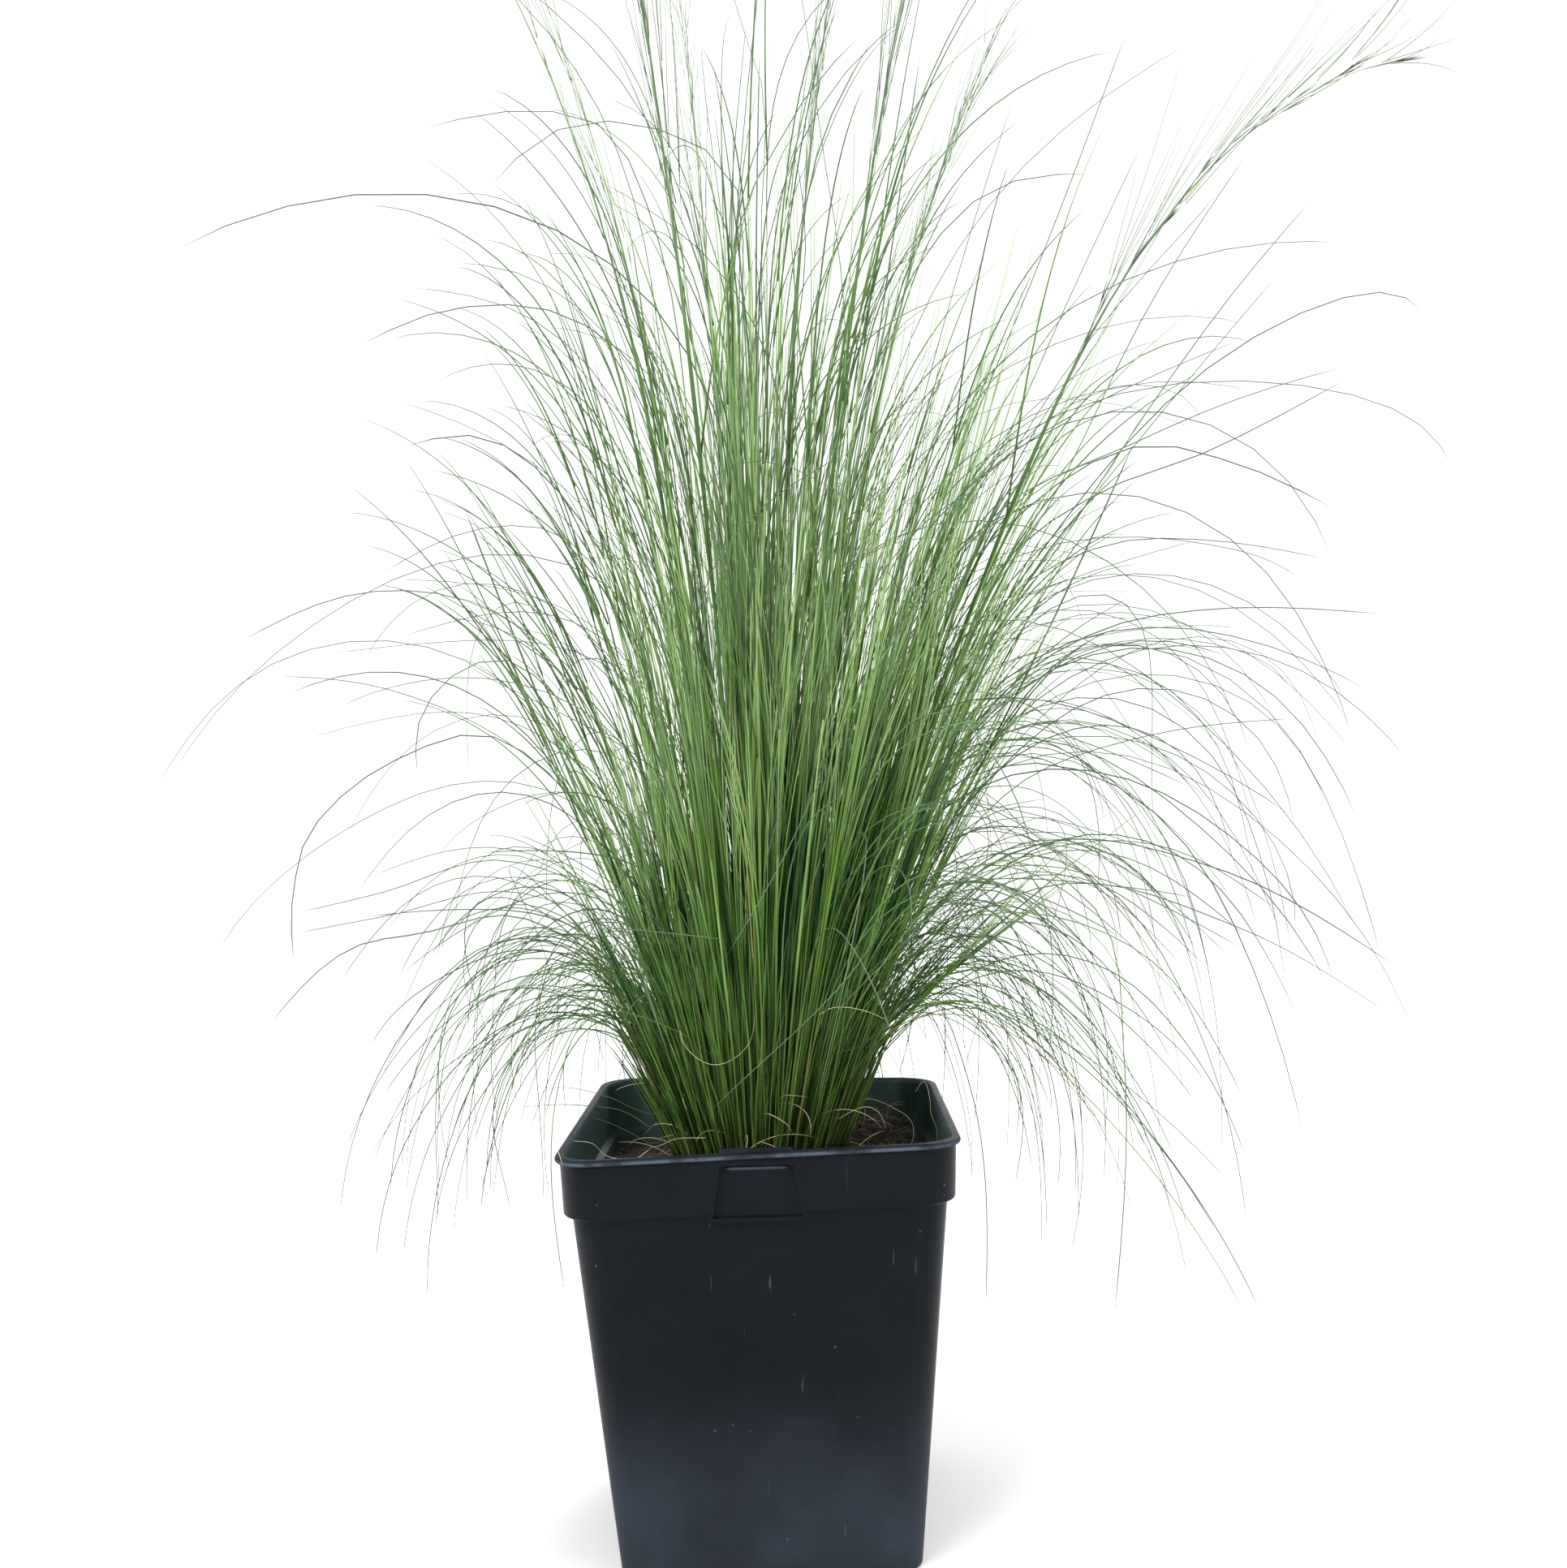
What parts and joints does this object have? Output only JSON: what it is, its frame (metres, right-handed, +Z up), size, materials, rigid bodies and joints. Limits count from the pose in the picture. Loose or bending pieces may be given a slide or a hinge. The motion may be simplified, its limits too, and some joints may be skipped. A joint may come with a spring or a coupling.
{
  "type": "potted feather grass",
  "caption": "Fine-leaved grass clump with narrow flower stems, upright in the middle and arching outwards, in a square tapered nursery pot.",
  "frame": {"origin": "middle of the pot's underside, on the surface it stands on", "axes": "+Z up along the plant, -Y towards the front of the pot with the label recess, +X to the viewer's right"},
  "size_m": [0.5949, 0.5963, 0.752],
  "materials": {
    "pot_plastic": "satin, dusty",
    "potting_soil": "rough, fibrous",
    "crown_green": "satin",
    "leaf_green": "satin",
    "flower_stem_green": "satin"
  },
  "bodies": {
    "root": {"pot": "pot_plastic", "soil": "potting_soil", "crown": "crown_green", "leaf_tuft_01": "leaf_green", "leaf_tuft_02": "leaf_green", "leaf_tuft_03": "leaf_green", "leaf_tuft_04": "leaf_green", "leaf_tuft_05": "leaf_green", "leaf_tuft_06": "leaf_green", "leaf_tuft_07": "leaf_green", "leaf_tuft_08": "leaf_green", "leaf_tuft_09": "leaf_green", "leaf_tuft_10": "leaf_green", "leaf_tuft_11": "leaf_green", "leaf_tuft_12": "leaf_green", "leaf_tuft_13": "leaf_green", "leaf_tuft_14": "leaf_green", "leaf_tuft_15": "leaf_green", "leaf_tuft_16": "leaf_green", "leaf_tuft_17": "leaf_green", "leaf_tuft_18": "leaf_green", "leaf_tuft_19": "leaf_green", "leaf_tuft_20": "leaf_green", "leaf_tuft_21": "leaf_green", "leaf_tuft_22": "leaf_green", "leaf_tuft_23": "leaf_green", "leaf_tuft_24": "leaf_green", "leaf_tuft_25": "leaf_green", "leaf_tuft_26": "leaf_green", "leaf_tuft_27": "leaf_green", "leaf_tuft_28": "leaf_green", "leaf_tuft_29": "leaf_green", "leaf_tuft_30": "leaf_green", "leaf_tuft_31": "leaf_green", "leaf_tuft_32": "leaf_green", "leaf_tuft_33": "leaf_green", "leaf_tuft_34": "leaf_green", "leaf_tuft_35": "leaf_green", "leaf_tuft_36": "leaf_green", "leaf_tuft_37": "leaf_green", "leaf_tuft_38": "leaf_green", "leaf_tuft_39": "leaf_green", "leaf_tuft_40": "leaf_green", "leaf_tuft_41": "leaf_green", "flower_stem_01": "flower_stem_green", "flower_stem_02": "flower_stem_green", "flower_stem_03": "flower_stem_green", "flower_stem_04": "flower_stem_green", "flower_stem_05": "flower_stem_green", "flower_stem_06": "flower_stem_green", "flower_stem_07": "flower_stem_green", "flower_stem_08": "flower_stem_green"}
  },
  "joints": []
}
